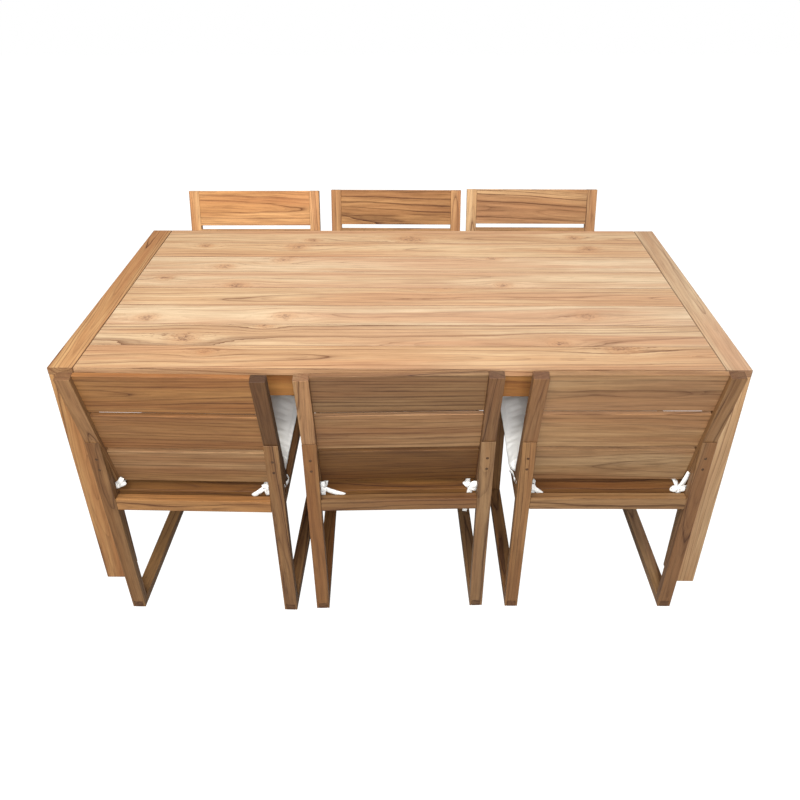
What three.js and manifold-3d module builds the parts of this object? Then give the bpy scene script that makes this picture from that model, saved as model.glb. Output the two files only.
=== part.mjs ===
// Patio dining set: a plank-topped wooden table, and six sled-base side chairs with tied seat cushions,
// three along each long side. Millimetres, +Z up, X along the table. The origin is on the ground, under
// the middle of the set. Chairs 1 to 3 stand along the -Y side and 4 to 6 along the +Y side, in order of X.
import * as THREE from "three";
import { mergeVertices } from "three/addons/utils/BufferGeometryUtils.js";
import Module from "manifold-3d";

const wasm = await Module();
wasm.setup();

// ---- Driving dimensions ----

const fitGap = 0.3; // left between two boards that touch

// Table
const tableLength = 1800;
const tableWidth = 980;
const tableHeight = 750;
const topThickness = 20;
const plankCount = 8; // planks that run along the table
const plankGap = 1.2; // open joint between neighbouring top boards
const endBoardWidth = 66; // the board across each end of the planks
const tableLegSize = 72; // square
const apronHeight = 64;
const apronThickness = 22;
const apronSetback = 4; // from the edge of the top
const topBattenCount = 3; // cross battens under the planks
const topBattenWidth = 60;
const topBattenHeight = 24;

// Chair, in its own frame: the origin is on the ground, midway between the backs of the rear feet, and
// +Y points the way the sitter faces.
const chairWidth = 487;
const chairDepth = 537; // rear foot to front foot
const chairHeight = 841;
const memberWidth = 37; // legs, runners, seat rails and back posts, measured across the chair
const memberThickness = 25; // the same boards, measured the thin way
const legLean = 2; // degrees, backwards
const lapHeight = 612; // the top of the rear leg, which laps behind the back post
const lapStep = 3; // the blunt end left at the top of the rear leg's taper
const recline = 15.6; // degrees
const seatRailHeight = 403.5; // the underside of the seat rails, carried back to the rear foot's line
const seatSlope = 4; // degrees, up towards the front
const rearRailHeight = 387; // its underside
const rearRailDepth = 37; // up and down
const frontRailDepth = 37; // up and down
const backSlatCount = 3;
const backSlatWidth = 126;
const backSlatGap = 14;
const backSlatThickness = 12.5; // flush with the front of the posts
const seatBoardCount = 6;
const seatBoardThickness = 16;
const seatBoardGap = 10;
const seatRearGap = 10; // open strip between the rear rail and the first seat board
const cleatWidth = 22; // the seat battens, along both sides and down the middle
const cleatHeight = 20;
const tenonLength = 12; // how far the back slats run into the posts

// Cushion
const cushionInset = 4.5; // in from the chair's outer faces, on each side
const cushionThickness = 45;
const cushionCorner = 34; // radius seen from above
const cushionEdge = 9; // radius of the rolled edge
const cushionBackGap = 3; // from the back posts
const cushionOverhang = 2; // short of the front of the chair

// Placing
const chairGap = 45; // between neighbouring chairs in a row
const tableLegClearance = 12; // between an outer chair and the table's legs
const facingGap = 110; // least room between the front feet of facing chairs
// Each chair as it stands: its row (-1 or 1), its place along the row, its shift along the table, how far
// its rear feet stand out from the table's edge, its turn in degrees and its cushion's shift sideways.
const chairPlaces = [
  { row: -1, place: -1, shift: -8.5, standOff: 121, turn: -0.96, cushionShift: 0 },
  { row: -1, place: 0, shift: 3.5, standOff: 110, turn: 1.97, cushionShift: 3 },
  { row: -1, place: 1, shift: 25, standOff: 94.5, turn: 0.45, cushionShift: -20 },
  { row: 1, place: -1, shift: -23.5, standOff: 111, turn: 0.47, cushionShift: 2 },
  { row: 1, place: 0, shift: -25, standOff: 124, turn: -0.5, cushionShift: -3 },
  { row: 1, place: 1, shift: -46.5, standOff: 133.5, turn: -0.32, cushionShift: 0 },
];

// ---- Materials ----

const topWood = new THREE.MeshStandardMaterial({ color: 0xd8ab78, roughness: 0.6, metalness: 0 });
const frameWood = new THREE.MeshStandardMaterial({ color: 0xb98450, roughness: 0.65, metalness: 0 });
const chairWood = new THREE.MeshStandardMaterial({ color: 0xa0744a, roughness: 0.65, metalness: 0 });
const cushionCloth = new THREE.MeshStandardMaterial({ color: 0xe9e9e9, roughness: 0.95, metalness: 0 });

// ---- Shared shapes ----

// A closed solid for joining, from a geometry.
function toSolid(geometry) {
  const bare = geometry.clone();
  bare.deleteAttribute("normal");
  bare.deleteAttribute("uv");
  const merged = mergeVertices(bare, 1e-4);
  return new wasm.Manifold(
    new wasm.Mesh({
      numProp: 3,
      vertProperties: new Float32Array(merged.attributes.position.array),
      triVerts: new Uint32Array(merged.index.array),
    }),
  );
}

// Joins geometries that run into one another into one.
function join(geometries) {
  const solid = geometries.map(toSolid).reduce((all, next) => all.add(next));
  const mesh = solid.getMesh();
  const joined = new THREE.BufferGeometry();
  joined.setAttribute("position", new THREE.BufferAttribute(new Float32Array(mesh.vertProperties), 3));
  joined.setIndex(new THREE.BufferAttribute(new Uint32Array(mesh.triVerts), 1));
  return joined;
}

// A board with square edges between two corners.
function block(low, high) {
  const size = high.map((value, i) => value - low[i]);
  const centre = high.map((value, i) => (value + low[i]) / 2);
  return new THREE.BoxGeometry(...size).translate(...centre);
}

// A board whose side outline, a list of [y, z] points, is carried from x0 to x1. A second outline is
// an opening right through it.
function profileBoard(outline, x0, x1, opening) {
  const shape = new THREE.Shape(outline.map((point) => new THREE.Vector2(...point)));
  if (opening) shape.holes.push(new THREE.Path(opening.map((point) => new THREE.Vector2(...point))));
  const solid = new THREE.ExtrudeGeometry(shape, { depth: x1 - x0, bevelEnabled: false });
  const turn = new THREE.Matrix4().makeBasis(
    new THREE.Vector3(0, 1, 0),
    new THREE.Vector3(0, 0, 1),
    new THREE.Vector3(1, 0, 0),
  );
  return solid.applyMatrix4(turn).translate(x0, 0, 0);
}

function named(name, geometry, material) {
  const mesh = new THREE.Mesh(geometry, material);
  mesh.name = name;
  return mesh;
}

// ---- Table ----

const topUnderside = tableHeight - topThickness;

function tableTop() {
  const boards = [];
  const plankWidth = (tableWidth - (plankCount - 1) * plankGap) / plankCount;
  const plankEnd = tableLength / 2 - endBoardWidth - plankGap;
  for (let i = 0; i < plankCount; i++) {
    const y = -tableWidth / 2 + i * (plankWidth + plankGap);
    const plank = block([-plankEnd, y, topUnderside], [plankEnd, y + plankWidth, tableHeight]);
    boards.push(named(`top_plank_${i + 1}`, plank, topWood));
  }
  for (const [side, word] of [[-1, "left"], [1, "right"]]) {
    const x = [side * tableLength / 2, side * (tableLength / 2 - endBoardWidth)].sort((a, b) => a - b);
    const board = block([x[0], -tableWidth / 2, topUnderside], [x[1], tableWidth / 2, tableHeight]);
    boards.push(named(`end_board_${word}`, board, topWood));
  }
  return boards;
}

function tableLegs() {
  const legs = [];
  for (const [sx, xWord] of [[-1, "left"], [1, "right"]]) {
    for (const [sy, yWord] of [[-1, "front"], [1, "rear"]]) {
      const x = sx * (tableLength - tableLegSize) / 2;
      const y = sy * (tableWidth - tableLegSize) / 2;
      const half = tableLegSize / 2;
      const leg = block([x - half, y - half, 0], [x + half, y + half, topUnderside - fitGap]);
      legs.push(named(`table_leg_${yWord}_${xWord}`, leg, frameWood));
    }
  }
  return legs;
}

function tableAprons() {
  const aprons = [];
  const top = topUnderside - fitGap;
  const bottom = topUnderside - apronHeight;
  const longEnd = tableLength / 2 - tableLegSize - fitGap;
  const shortEnd = tableWidth / 2 - tableLegSize - fitGap;
  for (const [side, word] of [[-1, "front"], [1, "rear"]]) {
    const outer = side * (tableWidth / 2 - apronSetback);
    const y = [outer, outer - side * apronThickness].sort((a, b) => a - b);
    const apron = block([-longEnd, y[0], bottom], [longEnd, y[1], top]);
    aprons.push(named(`long_apron_${word}`, apron, frameWood));
  }
  for (const [side, word] of [[-1, "left"], [1, "right"]]) {
    const outer = side * (tableLength / 2 - apronSetback);
    const x = [outer, outer - side * apronThickness].sort((a, b) => a - b);
    const apron = block([x[0], -shortEnd, bottom], [x[1], shortEnd, top]);
    aprons.push(named(`end_apron_${word}`, apron, frameWood));
  }
  return aprons;
}

function topBattens() {
  const battens = [];
  const top = topUnderside - fitGap;
  const end = tableWidth / 2 - apronSetback - apronThickness - fitGap;
  const spacing = (tableLength - 2 * tableLegSize) / (topBattenCount + 1);
  for (let i = 0; i < topBattenCount; i++) {
    const x = (i - (topBattenCount - 1) / 2) * spacing;
    const half = topBattenWidth / 2;
    const batten = block([x - half, -end, top - topBattenHeight], [x + half, end, top]);
    battens.push(named(`top_batten_${i + 1}`, batten, frameWood));
  }
  return battens;
}

// ---- Chair ----

const { degToRad } = THREE.MathUtils;
const leanSlope = Math.tan(degToRad(legLean));
const backSlope = Math.tan(degToRad(recline));
const seatRise = Math.tan(degToRad(seatSlope));
const legSpan = memberThickness / Math.cos(degToRad(legLean)); // a leg's thickness along Y
const postSpan = memberThickness / Math.cos(degToRad(recline)); // a back post's thickness along Y
const railSpan = memberThickness / Math.cos(degToRad(seatSlope)); // a seat rail's thickness along Z
const outside = chairWidth / 2;
const inside = chairWidth / 2 - memberWidth;
const frontInner = chairDepth - memberThickness; // the rear face of the front legs

// The side view is drawn with straight lines, y = at + slope * z.
const legRearLine = { at: 0, slope: -leanSlope };
const legFrontLine = { at: legSpan, slope: -leanSlope };
const postRearAtLap = -lapHeight * leanSlope + lapStep;
const postRearLine = { at: postRearAtLap + lapHeight * backSlope, slope: -backSlope };
const postFrontLine = { at: postRearLine.at + postSpan, slope: -backSlope };

const yOn = (line, z) => line.at + line.slope * z;
const zWhereLinesCross = (a, b) => (b.at - a.at) / (a.slope - b.slope);
const railUnder = (y) => seatRailHeight + y * seatRise;
const railTop = (y) => railUnder(y) + railSpan;

// The point where a line meets the seat rail's underside, raised by `up`.
function pointAtSeat(line, up) {
  const y = (line.at + line.slope * (seatRailHeight + up)) / (1 - line.slope * seatRise);
  return [y, railUnder(y) + up];
}

// One side of the chair as a closed loop: rear leg, runner on the ground, front leg and seat rail. The
// rear leg carries on up and tapers to lap behind the back post.
function sideFrame(x0, x1) {
  const taperLine = { at: postRearLine.at - fitGap, slope: postRearLine.slope };
  const taperStart = zWhereLinesCross(legFrontLine, taperLine);
  const outline = [
    [0, 0],
    [chairDepth, 0],
    [chairDepth, railTop(chairDepth)],
    pointAtSeat(legFrontLine, railSpan),
    [yOn(legFrontLine, taperStart), taperStart],
    [yOn(taperLine, lapHeight), lapHeight],
    [yOn(legRearLine, lapHeight), lapHeight],
  ];
  const opening = [
    [yOn(legFrontLine, memberThickness), memberThickness],
    [frontInner, memberThickness],
    [frontInner, railUnder(frontInner)],
    pointAtSeat(legFrontLine, 0),
  ];
  return profileBoard(outline, x0, x1, opening);
}

// A point of the back, from the rear top corner of the posts: down along them, and forwards through them.
function backPoint(down, forward) {
  const angle = degToRad(recline);
  const rearTop = chairHeight - memberThickness * Math.sin(angle);
  const y = yOn(postRearLine, rearTop) + down * Math.sin(angle) + forward * Math.cos(angle);
  return [y, rearTop - down * Math.cos(angle) + forward * Math.sin(angle)];
}

// Two reclined posts that stand on the seat rails, with the wide slats between them.
function backFrame() {
  const postOutline = [
    pointAtSeat(postRearLine, railSpan + fitGap),
    pointAtSeat(postFrontLine, railSpan + fitGap),
    backPoint(0, memberThickness),
    backPoint(0, 0),
  ];
  const boards = [profileBoard(postOutline, -outside, -inside), profileBoard(postOutline, inside, outside)];
  for (let i = 0; i < backSlatCount; i++) {
    const top = i * (backSlatWidth + backSlatGap);
    const bottom = top + backSlatWidth;
    const rear = memberThickness - backSlatThickness;
    const outline = [
      backPoint(top, rear),
      backPoint(bottom, rear),
      backPoint(bottom, memberThickness),
      backPoint(top, memberThickness),
    ];
    boards.push(profileBoard(outline, -inside - tenonLength, inside + tenonLength));
  }
  return join(boards);
}

function rearRail() {
  const [low, high] = [rearRailHeight, rearRailHeight + rearRailDepth];
  const outline = [
    [yOn(legRearLine, low), low],
    [yOn(legFrontLine, low), low],
    [yOn(legFrontLine, high), high],
    [yOn(legRearLine, high), high],
  ];
  return profileBoard(outline, -inside + fitGap, inside - fitGap);
}

// A board of the seat, in side view, between two values of y, its top and underside measured down from
// the top of the seat rails.
const seatOutline = (y0, y1, down0, down1) => [
  [y0, railTop(y0) - down1],
  [y1, railTop(y1) - down1],
  [y1, railTop(y1) - down0],
  [y0, railTop(y0) - down0],
];

// The seat panel: boards across the chair on three cleats that run from the rear rail to the front rail.
function seatFrame() {
  const end = inside - fitGap;
  const cleatStart = legSpan + fitGap; // clear of the rear rail's front face, which leans back
  const first = yOn(legFrontLine, rearRailHeight + rearRailDepth) + seatRearGap;
  const boardWidth = (frontInner - first - seatBoardCount * seatBoardGap) / seatBoardCount;
  const boards = [profileBoard(seatOutline(frontInner, chairDepth, 0, frontRailDepth), -end, end)];
  for (let i = 0; i < seatBoardCount; i++) {
    const y = first + i * (boardWidth + seatBoardGap);
    boards.push(profileBoard(seatOutline(y, y + boardWidth, 0, seatBoardThickness), -end, end));
  }
  for (const x of [-end, -cleatWidth / 2, end - cleatWidth]) {
    const outline = seatOutline(
      cleatStart,
      frontInner + memberThickness / 2,
      seatBoardThickness - fitGap,
      seatBoardThickness + cleatHeight,
    );
    boards.push(profileBoard(outline, x, x + cleatWidth));
  }
  return join(boards);
}

// A flat pad with rounded corners and a rolled edge, lying on the seat.
function cushion(shift) {
  const angle = degToRad(seatSlope);
  const rear = pointAtSeat(postFrontLine, railSpan)[0] + cushionBackGap;
  const length = (chairDepth - cushionOverhang - rear) / Math.cos(angle);
  const w = chairWidth / 2 - cushionInset - cushionEdge;
  const l = length - 2 * cushionEdge;
  const r = cushionCorner - cushionEdge;
  const shape = new THREE.Shape();
  shape.moveTo(-w + r, 0);
  shape.lineTo(w - r, 0);
  shape.absarc(w - r, r, r, -Math.PI / 2, 0);
  shape.lineTo(w, l - r);
  shape.absarc(w - r, l - r, r, 0, Math.PI / 2);
  shape.lineTo(-w + r, l);
  shape.absarc(-w + r, l - r, r, Math.PI / 2, Math.PI);
  shape.lineTo(-w, r);
  shape.absarc(-w + r, r, r, Math.PI, 1.5 * Math.PI);
  const pad = new THREE.ExtrudeGeometry(shape, {
    depth: cushionThickness - 2 * cushionEdge,
    bevelThickness: cushionEdge,
    bevelSize: cushionEdge,
    bevelSegments: 2,
    curveSegments: 4,
  });
  pad.translate(0, cushionEdge, cushionEdge + fitGap);
  pad.rotateX(angle);
  return pad.translate(shift, rear, railTop(rear));
}

function chair(number, cushionShift) {
  const group = new THREE.Group();
  const name = (word) => `chair${number}_${word}`;
  group.add(
    named(name("left_side"), sideFrame(-outside, -inside), chairWood),
    named(name("right_side"), sideFrame(inside, outside), chairWood),
    named(name("back"), backFrame(), chairWood),
    named(name("rear_rail"), rearRail(), chairWood),
    named(name("seat"), seatFrame(), chairWood),
    named(name("cushion"), cushion(cushionShift), cushionCloth),
  );
  return group;
}

// ---- The set ----

const xOf = (place) => place.place * (chairWidth + chairGap) + place.shift;

// A row that is too long to fit between the table's legs stands clear of the table instead.
function standOffOf(place) {
  const reach = Math.max(...chairPlaces.map((each) => Math.abs(xOf(each)))) + chairWidth / 2;
  const room = tableLength / 2 - tableLegSize - tableLegClearance;
  return reach <= room ? place.standOff : chairDepth + place.standOff;
}

function placedChair(place, number) {
  const group = chair(number, place.cushionShift);
  const fromEdge = tableWidth / 2 + standOffOf(place);
  const clearOfFacing = chairDepth + facingGap / 2;
  group.position.set(xOf(place), place.row * Math.max(fromEdge, clearOfFacing), 0);
  group.rotation.z = degToRad(place.turn) + (place.row > 0 ? Math.PI : 0);
  return group;
}

const set = new THREE.Group();
set.add(...tableTop(), ...tableLegs(), ...tableAprons(), ...topBattens());
chairPlaces.forEach((place, i) => set.add(placedChair(place, i + 1)));

// The chairs don't reach equally far out on both sides, so the set is moved to bring its middle over the
// origin.
const box = new THREE.Box3().setFromObject(set, true);
set.position.set(-(box.min.x + box.max.x) / 2, -(box.min.y + box.max.y) / 2, 0);

export default set;
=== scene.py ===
"""Patio dining set: a teak table and six sled-base chairs with tied cushions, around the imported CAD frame.

Metres, +Z up, X along the table. Every board is built here again with eased edges, its real joints and
grain that runs along it, and takes the place of its CAD node.
"""

import math
import random
from collections import namedtuple

import bmesh
import bpy
import numpy as np
from mathutils import Matrix, Vector, noise


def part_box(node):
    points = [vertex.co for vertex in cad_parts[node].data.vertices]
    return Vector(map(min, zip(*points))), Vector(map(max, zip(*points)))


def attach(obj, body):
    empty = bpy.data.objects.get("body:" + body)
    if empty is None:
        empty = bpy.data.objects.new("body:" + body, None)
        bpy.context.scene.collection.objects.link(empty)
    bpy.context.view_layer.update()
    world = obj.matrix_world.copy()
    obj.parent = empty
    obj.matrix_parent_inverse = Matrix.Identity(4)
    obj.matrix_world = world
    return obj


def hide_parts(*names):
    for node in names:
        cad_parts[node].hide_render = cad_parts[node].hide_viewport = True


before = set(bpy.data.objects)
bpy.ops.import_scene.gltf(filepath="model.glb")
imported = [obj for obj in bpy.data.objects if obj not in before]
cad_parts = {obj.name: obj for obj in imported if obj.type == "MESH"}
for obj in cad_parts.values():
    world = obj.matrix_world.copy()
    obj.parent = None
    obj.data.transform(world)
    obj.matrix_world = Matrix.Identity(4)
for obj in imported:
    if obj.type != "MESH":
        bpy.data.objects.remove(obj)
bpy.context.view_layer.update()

# ---- Dimensions: the chair's are those of the CAD source, in metres ----

FIT_GAP = 0.0003  # between two boards that touch

CHAIR_WIDTH = 0.487
CHAIR_DEPTH = 0.537
CHAIR_HEIGHT = 0.841
MEMBER_WIDTH = 0.037  # legs, runners, seat rails and posts, across the chair
MEMBER_THICKNESS = 0.025
LEG_LEAN = math.radians(2)
LAP_HEIGHT = 0.612
LAP_STEP = 0.003
RECLINE = math.radians(15.6)
SEAT_RAIL_HEIGHT = 0.4035
SEAT_SLOPE = math.radians(4)
REAR_RAIL_HEIGHT = 0.387
REAR_RAIL_DEPTH = 0.037
FRONT_RAIL_DEPTH = 0.037
BACK_SLAT_WIDTH = 0.126
BACK_SLAT_GAP = 0.014
BACK_SLAT_THICKNESS = 0.0125
SEAT_BOARDS = 6
SEAT_BOARD_THICKNESS = 0.016
SEAT_BOARD_GAP = 0.010
SEAT_REAR_GAP = 0.010
CLEAT_WIDTH = 0.022
CLEAT_HEIGHT = 0.020
CUSHION_WIDTH = 0.478
CUSHION_THICKNESS = 0.045
CUSHION_CORNER = 0.034
CUSHION_BACK_GAP = 0.003
CUSHION_OVERHANG = 0.002
CUSHION_SHIFTS = (0, 0.003, -0.020, 0.002, -0.003, 0)  # sideways, for chairs 1 to 6

TENON_WIDTH = 0.0245  # the runner's tenon, seen in the end of each foot
TENON_HEIGHT = 0.0225
TENON_SINK = 0.0002  # how far a tenon's end stops short of the face it comes through to
TENON_EDGE_RADIUS = 0.0004
PLUG_RADIUS = 0.0038  # over the screws that hold the rear leg to the back post
PLUG_HEIGHTS = (0.560, 0.525)
PLUG_SINK = 0.0003
PLUG_DEPTH = 0.006
PLUG_GAP = 0.0001

EDGE_RADIUS = 0.0012  # eased edge of a chair's boards
TOP_EDGE_RADIUS = 0.0013
SLIM = 0.0016  # the width of a face of an eased edge is under this
LEG_EDGE_RADIUS = 0.0020

# ---- Lines of the chair's side view, y = at + slope * z, in the chair's own frame ----

Line = namedtuple("Line", "at slope")

LEG_SPAN = MEMBER_THICKNESS / math.cos(LEG_LEAN)
POST_SPAN = MEMBER_THICKNESS / math.cos(RECLINE)
RAIL_SPAN = MEMBER_THICKNESS / math.cos(SEAT_SLOPE)
OUTSIDE = CHAIR_WIDTH / 2
INSIDE = OUTSIDE - MEMBER_WIDTH
FRONT_INNER = CHAIR_DEPTH - MEMBER_THICKNESS
LEG_REAR = Line(0, -math.tan(LEG_LEAN))
LEG_FRONT = Line(LEG_SPAN, -math.tan(LEG_LEAN))
POST_REAR_AT_LAP = LEG_REAR.slope * LAP_HEIGHT + LAP_STEP
POST_REAR = Line(POST_REAR_AT_LAP + LAP_HEIGHT * math.tan(RECLINE), -math.tan(RECLINE))
POST_FRONT = Line(POST_REAR.at + POST_SPAN, POST_REAR.slope)


def y_on(line, z):
    return line.at + line.slope * z


def z_where_lines_cross(a, b):
    return (b.at - a.at) / (a.slope - b.slope)


def rail_under(y):
    return SEAT_RAIL_HEIGHT + y * math.tan(SEAT_SLOPE)


def rail_top(y):
    return rail_under(y) + RAIL_SPAN


def point_at_seat(line, up):
    """The (y, z) point where a line meets the seat rail's underside, raised by up."""
    y = (line.at + line.slope * (SEAT_RAIL_HEIGHT + up)) / (1 - line.slope * math.tan(SEAT_SLOPE))
    return y, rail_under(y) + up


def back_point(down, forward):
    """A (y, z) point of the back, from the rear top corner of the posts."""
    top = CHAIR_HEIGHT - MEMBER_THICKNESS * math.sin(RECLINE)
    y = y_on(POST_REAR, top) + down * math.sin(RECLINE) + forward * math.cos(RECLINE)
    return y, top - down * math.cos(RECLINE) + forward * math.sin(RECLINE)


CUSHION_REAR = point_at_seat(POST_FRONT, RAIL_SPAN)[0] + CUSHION_BACK_GAP
RAIL_ALONG = Vector((0, 1, math.tan(SEAT_SLOPE))).normalized()


def chair_place(number):
    """The chair's frame: the origin on the ground between its rear feet, +Y the way the sitter faces."""
    def runner_middle(side):
        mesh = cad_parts[f"chair{number}_{side}_side"].data
        ground = {tuple(round(c, 5) for c in v.co) for v in mesh.vertices if v.co.z < 1e-4}
        return sum((Vector(p) for p in ground), Vector()) / len(ground)

    left, right = runner_middle("left"), runner_middle("right")
    across = (right - left).normalized()
    forward = Vector((0, 0, 1)).cross(across)
    origin = (left + right) / 2 - forward * CHAIR_DEPTH / 2
    turn = Matrix((across, forward, (0, 0, 1))).transposed().to_4x4()
    return Matrix.Translation((origin.x, origin.y, 0)) @ turn


# ---- Materials ----

class Shader:
    """A material's nodes, added and linked one call at a time."""

    def __init__(self, name):
        self.material = bpy.data.materials.new(name)
        self.material.use_nodes = True
        self.tree = self.material.node_tree
        self.surface = self.tree.nodes["Principled BSDF"]

    def add(self, kind, inputs=(), output=0, **settings):
        node = self.tree.nodes.new(kind)
        for key, value in settings.items():
            setattr(node, key, value)
        for socket, value in dict(inputs).items():
            self.put(node.inputs[socket], value)
        return node.outputs[output]

    def put(self, socket, value):
        if isinstance(value, bpy.types.NodeSocket):
            self.tree.links.new(value, socket)
        else:
            socket.default_value = value

    def attribute(self, name, output):
        return self.add("ShaderNodeAttribute", output=output, attribute_name=name)

    def vector(self, operation, a, b=None, output=0):
        inputs = {0: a} if b is None else {0: a, 1: b}
        return self.add("ShaderNodeVectorMath", inputs, output, operation=operation)

    def math(self, operation, a, b=0.0, clamp=False):
        return self.add("ShaderNodeMath", {0: a, 1: b}, operation=operation, use_clamp=clamp)

    def noise(self, vector, scale=1.0, detail=2.0, roughness=0.5, output=0):
        inputs = {"Vector": vector, "Scale": scale, "Detail": detail, "Roughness": roughness}
        return self.add("ShaderNodeTexNoise", inputs, output)

    def noise_along(self, value, scale):
        return self.add("ShaderNodeTexNoise", {"W": value, "Scale": scale}, noise_dimensions="1D")

    def step(self, value, low, high, to_low=0.0, to_high=1.0):
        """A smooth step from to_low, where value is low, to to_high, where it is high."""
        inputs = {0: value, 1: low, 2: high, 3: to_low, 4: to_high}
        return self.add("ShaderNodeMapRange", inputs, interpolation_type="SMOOTHSTEP")

    def mix(self, share, a, b, blend="MIX"):
        inputs = {0: share, 6: a, 7: b}
        return self.add("ShaderNodeMix", inputs, 2, data_type="RGBA", blend_type=blend)

    def ramp(self, value, stops):
        socket = self.add("ShaderNodeValToRGB", {0: value})
        elements = socket.node.color_ramp.elements
        while len(elements) < len(stops):
            elements.new(0.5)
        for element, (position, colour) in zip(elements, stops):
            element.position = position
            element.color = colour
        return socket


def rgb(red, green, blue):
    """A linear colour from sRGB values of 0 to 255."""
    def linear(value):
        value /= 255
        return value / 12.92 if value <= 0.04045 else ((value + 0.055) / 1.055) ** 2.4

    return linear(red), linear(green), linear(blue), 1.0


RING_WIDTH = 0.0105
FINE_RING_WIDTH = 0.0034
KNOT_LENGTH = 0.019
KNOT_WIDTH = 0.014


def knot(s, grain, name):
    """Returns a point's distance from a board's knot, in knots, and how much the grain flows round it there,
    as a share and as a push in metres."""
    wobble = s.vector("SUBTRACT", s.noise(s.vector("MULTIPLY", grain, (50, 110, 110)), output=1), (0.5,) * 3)
    place = s.vector("ADD", s.attribute(name, "Vector"), s.vector("MULTIPLY", wobble, (1.7, 1.5, 0)))
    parts = s.add("ShaderNodeSeparateXYZ", {0: place})
    far = s.vector("LENGTH", s.vector("MULTIPLY", place, (1, 1, 0)), output=1)
    reach = s.vector("LENGTH", s.vector("MULTIPLY", place, (0.20, 0.34, 0)), output=1)
    flow = s.math("EXPONENT", s.math("MULTIPLY", s.math("POWER", reach, 2.0), -1.0))
    push = s.math("MULTIPLY", s.math("MULTIPLY", parts.node.outputs[1], flow), KNOT_WIDTH * 0.7)
    return far, flow, push


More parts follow.
